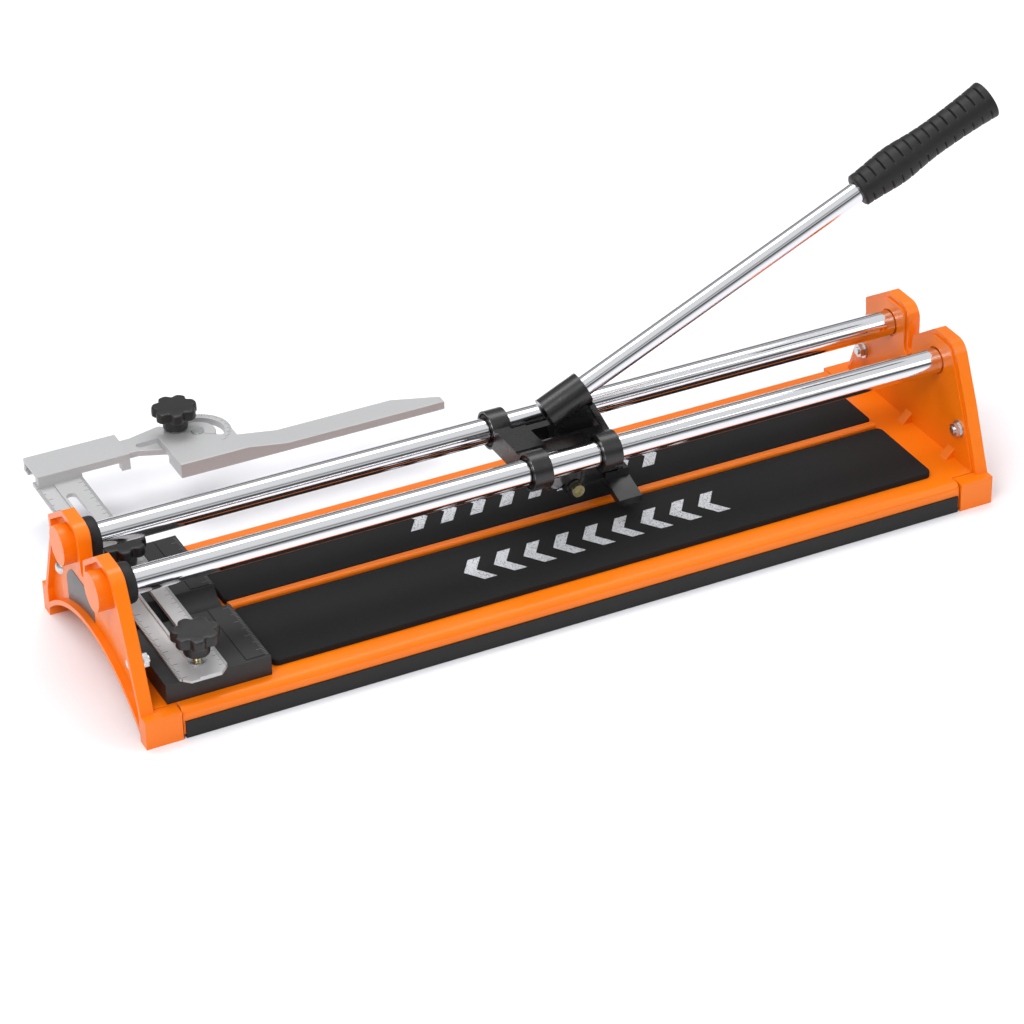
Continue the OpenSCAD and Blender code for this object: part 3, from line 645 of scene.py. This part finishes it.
centre, size = middle_of("rail_bumpers")
bumper_r, bumper_edge = 15.5 * MM, 2 * MM
rail_y = (size[1] / 2) - bumper_r
half = size[0] / 2
bore = 10.05 * MM
bumper_profile = eased([
    (bore, -half), (bumper_r - bumper_edge, -half), (bumper_r, -half + 1.5 * MM),
    (bumper_r, half - 1.5 * MM), (bumper_r - bumper_edge, half), (bore, half),
])
for side, name in ((-1, "front_bumper"), (1, "rear_bumper")):
    ring = np.vstack([bumper_profile, bumper_profile[:1]])
    points, faces = turned(ring, centre + (0, side * rail_y, 0), (1, 0, 0))
    add_piece(name, points, faces, TRIM_RUBBER, "base", ("rail_bumpers",))

LEVER_PIVOT = np.array(JOINTS["lever_tilt"]["pos_m"])
HANDLE_ANGLE = math.radians(24.4)
HANDLE_AXIS = np.array([math.cos(HANDLE_ANGLE), 0, math.sin(HANDLE_ANGLE)])
SOCKET = LEVER_PIVOT + np.array([13.6, 0, 77.5]) * MM
HANDLE_END = 380.8 * MM
GRIP_LENGTH = 124 * MM
TUBE_R = 8 * MM

profile = rod_profile(TUBE_R, -25 * MM, HANDLE_END - 8 * MM, 0.4 * MM)
points, faces = turned(profile, SOCKET, HANDLE_AXIS)
add_piece("handle_bar", points, faces, TUBE_CHROME, "lever", ("handle_tube",))
print("bars of radius", TUBE_R, "and rails at", round(rail_y, 4))

# %% [markdown]
# ## Grip
#
# The rubber grip swells in the palm, narrows to a waist and flares at its end. Rows of short
# grooves run across its top and its underside, and a smooth band is left along each side. The
# radius is the swell minus the groove's depth, times a mask that fades the groove near a band.

# %% Grip
GRIP_START = HANDLE_END - GRIP_LENGTH
GRIP_TOP = HANDLE_END - 0.35 * MM
GROOVES = 14
GROOVE_DEPTH = 1.1 * MM
GROOVE_WIDTH = 0.55 * MM
BAND_TURN = math.radians(-22)


def grip_radius(r, d, a):
    """r is the smooth radius. A groove is a narrow bell curve in the distance along the grip,
    and the mask is the soft step of |sin(angle - band)|, so it is 0 along the two bands."""
    s = (d - GRIP_START) / GRIP_LENGTH
    pitch = 1 / (GROOVES + 0.6)
    off = (np.mod(s / pitch - 0.3, 1.0) - 0.5) * pitch * GRIP_LENGTH
    groove = np.exp(-((off / GROOVE_WIDTH) ** 2)) * ((s > 0.035) & (s < 0.985))
    mask = np.clip((np.abs(np.sin(a - BAND_TURN)) - 0.30) / 0.10, 0, 1)
    mask = mask * mask * (3 - 2 * mask)
    outside = r > 12.0 * MM
    return r - GROOVE_DEPTH * groove * mask * outside


GRIP_ROWS = 520
WAIST_MM = 12.85
s = np.linspace(0.012, 0.985, GRIP_ROWS)
swell = WAIST_MM + 2.4 * np.exp(-(((s - 0.28) / 0.17) ** 2)) + 2.7 * s ** 5
wall = np.stack([swell * MM, GRIP_START + s * GRIP_LENGTH], axis=1)
start = eased([(8.05 * MM, GRIP_START), (11.4 * MM, GRIP_START), tuple(wall[0])], 2)
end_r = wall[-1, 0]
end = eased([
    tuple(wall[-1]), (end_r - 0.2 * MM, GRIP_TOP - 0.4 * MM), (end_r - 1.8 * MM, GRIP_TOP),
    (6 * MM, GRIP_TOP), (0, GRIP_TOP),
], 2)
profile = np.vstack([[(8.05 * MM, GRIP_START + 20 * MM)], start[:-1], wall, end[1:]])
points, faces = turned(profile, SOCKET, HANDLE_AXIS, 128, grip_radius)
add_piece("grip", points, faces, GRIP_RUBBER, "lever", ("handle_grip",), 60)
print("grip:", len(points), "points")

# %% [markdown]
# ## Star knobs
#
# A star knob is a round hub under a star with seven lobes. The same turned surface makes it:
# every profile row also says how much of the star's wave it carries, so the hub stays round,
# the sides follow the lobes and the top fades back to a gentle dome.

# %% Star knobs
LOBES = 7
KNOB_COLUMNS = 168
KNOB_ROWS = eased([
    (3.2, 0.0, 4.0), (3.2, 0.0, 0.0), (9.0, 0.0, 0.0), (10.0, 0.0, 0.8),
    (10.0, 0.0, 9.6), (11.2, 0.3, 10.6), (14.5, 1.5, 10.6), (16.0, 1.85, 11.4),
    (16.1, 1.9, 13.0), (16.0, 1.9, 17.4),
    (15.5, 1.75, 19.0), (13.8, 1.3, 19.4), (11.0, 0.7, 19.5), (6.0, 0.0, 19.3), (0.0, 0.0, 19.2),
], 3)


def star_knob(name, node, joint):
    """Radius of a point: the row's base radius plus its share of a wave with seven lobes. The
    wave is 1 - 2 t t, where t = (1 - cos 7a) / 2, so lobes are broad and valleys narrow."""
    low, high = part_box(node)
    x, y = JOINTS[joint]["pos_m"][:2]
    base, wave, height = KNOB_ROWS.T * MM
    a = np.linspace(0, 2 * np.pi, KNOB_COLUMNS, endpoint=False)[None, :]
    lobed = 1 - 2 * ((1 - np.cos(LOBES * a)) / 2) ** 2
    r = base[:, None] + wave[:, None] * lobed
    z = low.z + height[:, None] + 0 * a
    points = np.stack([x + r * np.cos(a), y + r * np.sin(a), z], axis=-1).reshape(-1, 3)
    faces = grid_faces(len(base), KNOB_COLUMNS)
    body = BODY_OF[node]
    return add_piece(name, points, faces, KNOB_PLASTIC, body, (node,), 50)


star_knob("front_star", "front_knob", "front_knob_turn")
star_knob("rear_star", "rear_knob", "rear_knob_turn")
star_knob("fence_star", "fence_knob", "fence_knob_turn")

# %% [markdown]
# ## Foam pads
#
# A die-cut pad has crisp outlines but soft top edges, because foam relaxes where it is cut. It
# is a profile carried round a rounded rectangle: each row of the grid is the same outline,
# moved in a little and up a little.

# %% Pads
CORNER_STEPS = 8
OUTLINE = 4 * CORNER_STEPS


def rounded_rectangle(half_x, half_y, radius):
    """Points round a rectangle: four quarter circles of that radius, joined by straight sides."""
    quarter = np.linspace(0, np.pi / 2, CORNER_STEPS)
    parts = []
    for turns, (sx, sy) in enumerate(((1, 1), (-1, 1), (-1, -1), (1, -1))):
        angle = quarter + turns * np.pi / 2
        corner = np.array([sx * (half_x - radius), sy * (half_y - radius)])
        parts.append(corner + radius * np.stack([np.cos(angle), np.sin(angle)], axis=1))
    return np.vstack(parts)


def foam_pad(name, node, finish):
    low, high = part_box(node)
    centre = (low + high) / 2
    size = high - low
    edge = 1.1 * MM
    angle = np.linspace(0, np.pi / 2, 7)
    insets = np.concatenate([[3 * MM, 0.0], edge * (1 - np.cos(angle)), [4 * MM]])
    heights = np.concatenate([[low.z, low.z], high.z - edge * (1 - np.sin(angle)), [high.z]])
    rows = [
        np.column_stack([
            rounded_rectangle(size.x / 2 - inset, size.y / 2 - inset, 5.2 * MM - inset)
            + (centre.x, centre.y),
            np.full(OUTLINE, height),
        ])
        for inset, height in zip(insets, heights)
    ]
    points = np.vstack(rows)
    mesh = bpy.data.meshes.new(name)
    sides = grid_faces(len(rows), OUTLINE).tolist()
    caps = [list(range(OUTLINE - 1, -1, -1)), list(range(len(points) - OUTLINE, len(points)))]
    mesh.from_pydata(points.tolist(), [], sides + caps)
    tidy(mesh)
    piece = finish_piece(name, mesh, finish, "base", (node,), 50)
    return piece


foam_pad("front_foam_pad", "front_pad", FRONT_FOAM)
foam_pad("rear_foam_pad", "rear_pad", REAR_FOAM)

# %% [markdown]
# ## Turned skins on the castings
#
# The castings carry round bosses, rings and a socket. Their copies come with few sides, so
# each gets a turned skin three hundredths of a millimetre proud of it, with its own soft edge.

# %% Ring, boss and socket skins
SKIN = 0.03 * MM


def tube_skin(name, origin, axis, outer, inner, start, end, edge, finish, body):
    """A ring-shaped surface: out at the start, along the outside, in at the end, and back."""
    corners = [
        (inner, start), (outer - edge, start), (outer, start + edge),
        (outer, end - edge), (outer - edge, end), (inner, end),
    ]
    ring = np.vstack([eased(corners, 2), [(inner, start)]])
    points, faces = turned(ring, origin, axis)
    return add_piece(name, points, faces, finish, body)


RAIL_Y, RAIL_Z = 34.4 * MM, 95 * MM
RING_BORE = 12.08 * MM
BOSS_X = 345 * MM
car_low, car_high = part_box("carriage_body")
RING_LENGTH = 15 * MM
ring_r = (car_high.y - car_low.y) / 2 - RAIL_Y
for side, y in (("front", -RAIL_Y), ("rear", RAIL_Y)):
    for end, x in (("left", car_low.x), ("right", car_high.x - RING_LENGTH)):
        tube_skin(
            f"{side}_{end}_ring", (x, y, RAIL_Z), (1, 0, 0), ring_r + SKIN, RING_BORE,
            0.0, RING_LENGTH, 1.2 * MM, BLACK_PAINT, "carriage",
        )
    for end, sign in (("left", -1), ("right", 1)):
        cap = eased([(15, 0), (15, 11.2), (14.1, 12.35), (13.0, 12.42)], 2) * MM
        cap[:, 0] += SKIN
        points, faces = turned(cap, (sign * BOSS_X, y, RAIL_Z), (sign, 0, 0))
        add_piece(f"{side}_{end}_boss", points, faces, ENAMEL, "base")

socket_profile = eased([
    (0, -35 * MM), (11.0 * MM, -35 * MM), (12.5 * MM, -33.5 * MM), (12.5 * MM, -1.2 * MM),
    (11.6 * MM, 0.0), (8.4 * MM, 0.0), (8.3 * MM, -2 * MM),
], 2)
socket_profile[:, 0] += SKIN * (socket_profile[:, 0] > 9 * MM)
points, faces = turned(socket_profile, SOCKET, HANDLE_AXIS)
add_piece("socket_skin", points, faces, BLACK_PAINT, "lever")

# %% [markdown]
# ## Scoring wheel
#
# The wheel is a small disc of hard metal with a round bore. Its rim is ground from both faces
# to one sharp edge, so the profile is a ring whose outer end comes to a point.

# %% Scoring wheel
centre, size = middle_of("cutting_wheel")
rim, half, bore = size[2] / 2, size[1] / 2, 5.0 * MM
WHEEL_SHARP = 15
ring = [
    (bore, -half + 0.2 * MM), (bore + 0.2 * MM, -half), (rim - 2.1 * MM, -half),
    (rim - 1.9 * MM, -half + 0.05 * MM), (rim, 0.0), (rim - 1.9 * MM, half - 0.05 * MM),
    (rim - 2.1 * MM, half), (bore + 0.2 * MM, half), (bore, half - 0.2 * MM),
    (bore, -half + 0.2 * MM),
]
points, faces = turned(ring, centre, (0, 1, 0))
add_piece(
    "scoring_wheel", points, faces, GROUND_STEEL, "wheel",
    ("cutting_wheel",), WHEEL_SHARP,
)
print("scoring wheel of radius", round(rim, 5))

# %% [markdown]
# ## Blank plate
#
# The left casting carries a thin grey plate beside its middle. It is left blank. Its lower edge
# is a circle round the arch's own centre, just clear of the arch's raised rim, so the plate lies
# on the web all the way and never hangs over the opening.

# %% Label plate
PLATE_Y0, PLATE_Y1, PLATE_TOP = 1 * MM, 57 * MM, 66 * MM
ARCH_CENTRE_Z = -101 * MM
PLATE_ARCH = 145.6 * MM
label_finish = Finish("label_grey", Metallic=0.2)
label_fleck = label_finish.noise(900.0, 2.0)
label_finish.feed("Base Color", label_finish.mix(label_fleck, grey(0.10), grey(0.16)))
label_finish.feed("Roughness", label_fleck * 0.1 + 0.35)
PLATE_STEPS = 25
PLATE_POINTS = 2 * PLATE_STEPS
t = np.linspace(0, 1, PLATE_STEPS)
plate_y = PLATE_Y0 + (PLATE_Y1 - PLATE_Y0) * t
plate_low = ARCH_CENTRE_Z + np.sqrt(PLATE_ARCH ** 2 - plate_y ** 2)
plate_high = PLATE_TOP - 12 * MM * np.clip((t - 0.72) / 0.28, 0, 1) ** 2
outline = np.vstack([
    np.column_stack([plate_y, plate_low]), np.column_stack([plate_y, plate_high])[::-1],
])
PLATE_X = (-344.9, -345.25, -345.3)
sheets = [np.column_stack([np.full(PLATE_POINTS, x * MM), outline]) for x in PLATE_X]
sheets[2][:, 1:] += (outline.mean(axis=0) - outline) * 0.012
mesh = bpy.data.meshes.new("label_plate")
back = [
    [i, i + 1, PLATE_POINTS - 2 - i, PLATE_POINTS - 1 - i] for i in range(PLATE_STEPS - 1)
]
front = [[2 * PLATE_POINTS + corner for corner in strip] for strip in back]
sides = grid_faces(len(sheets), PLATE_POINTS).tolist()
mesh.from_pydata(np.vstack(sheets).tolist(), [], sides + back + front)
tidy(mesh)
finish_piece("label_plate", mesh, label_finish.material, "base", (), 30)
print("label plate:", len(mesh.vertices), "points")

# %% [markdown]
# ## Small hardware
#
# Bolts, nuts, washers, studs, pins and the rail bushes keep their CAD shape, and only their
# finish is set through their material slots.

# %% Finishes of the kept nodes
KEPT = {
    ZINC: ("end_bolts", "end_washers", "end_nuts", "stop_screws", "guide_washers", "fence_washer",
           "foot_screws", "fence_pivot_pin", "wheel_axle", "axle_clip", "pivot_nut"),
    YELLOW_ZINC: ("front_stud", "rear_stud", "fence_stud", "pivot_bolt"),
    BRONZE: ("rail_bushes",),
}
for finish, nodes in KEPT.items():
    for node in nodes:
        mesh = frame["nodes"][node].data
        mesh.materials.clear()
        mesh.materials.append(finish)
print("kept nodes:", sum(len(nodes) for nodes in KEPT.values()))

# %% [markdown]
# ## Studio
#
# The set is a plain pale floor under soft light: one broad key light from the user's left, a
# fill from the right and a strip high above the rails, whose reflection draws the bright line
# along the chrome. Chrome only looks like chrome when it has something dark to reflect, so the
# studio's walls have a dark band at a low angle, and a greyer one higher up.

# %% Floor and lights
floor_finish = Finish("floor", Roughness=0.9, Specular_IOR_Level=0.1)
floor_finish.feed("Base Color", floor_finish.mix(floor_finish.noise(3.0), grey(0.90), grey(0.92)))
floor_mesh = bpy.data.meshes.new("floor")
FLOOR = 12.0
corners = [(-FLOOR, -FLOOR, 0), (FLOOR, -FLOOR, 0), (FLOOR, FLOOR, 0), (-FLOOR, FLOOR, 0)]
floor_mesh.from_pydata(corners, [], [(0, 1, 2, 3)])
floor_mesh.materials.append(floor_finish.material)
floor = bpy.data.objects.new("floor", floor_mesh)
bpy.context.scene.collection.objects.link(floor)

world = bpy.data.worlds.new("studio")
world.use_nodes = True
bpy.context.scene.world = world
sky_tree = world.node_tree
sky_place = sky_tree.nodes.new("ShaderNodeTexCoord")
sky_split = sky_tree.nodes.new("ShaderNodeSeparateXYZ")
sky_ramp = sky_tree.nodes.new("ShaderNodeValToRGB")
sky_tree.links.new(sky_place.outputs["Generated"], sky_split.inputs[0])
sky_tree.links.new(sky_split.outputs[2], sky_ramp.inputs[0])
sky_tree.links.new(sky_ramp.outputs[0], sky_tree.nodes["Background"].inputs[0])
sky_tree.nodes["Background"].inputs[1].default_value = 0.85
SKY = [
    (0.0, 0.75), (0.10, 0.60), (0.22, 0.08), (0.34, 0.10),
    (0.46, 0.85), (0.60, 0.30), (0.74, 1.0), (1.0, 1.0),
]
stops = sky_ramp.color_ramp.elements
while len(stops) < len(SKY):
    stops.new(0.5)
for stop, (at, level) in zip(stops, SKY):
    stop.position, stop.color = at, (level * 0.98, level * 0.99, level, 1)


def soft_light(name, place, target, width, depth, power):
    light = bpy.data.lights.new(name, "AREA")
    light.shape, light.size, light.size_y, light.energy = "RECTANGLE", width, depth, power
    lamp = bpy.data.objects.new(name, light)
    aim = np.asarray(place, float) - np.asarray(target, float)
    back, right, up = side_axes(aim)
    pose = np.eye(4)
    pose[:3, :3] = np.stack([right, up, back], axis=1)
    pose[:3, 3] = place
    lamp.matrix_world = Matrix(pose.tolist())
    bpy.context.scene.collection.objects.link(lamp)


soft_light("key", (-1.6, -1.4, 2.2), (0, 0, 0.1), 1.4, 1.4, 40)
soft_light("fill", (2.2, -1.6, 1.6), (0, 0, 0.1), 1.6, 1.6, 16)
soft_light("strip", (0.0, 0.7, 2.0), (0, 0, 0.1), 2.4, 0.9, 22)
bpy.context.scene.view_settings.view_transform = "Standard"
print("lights:", len(bpy.data.lights))
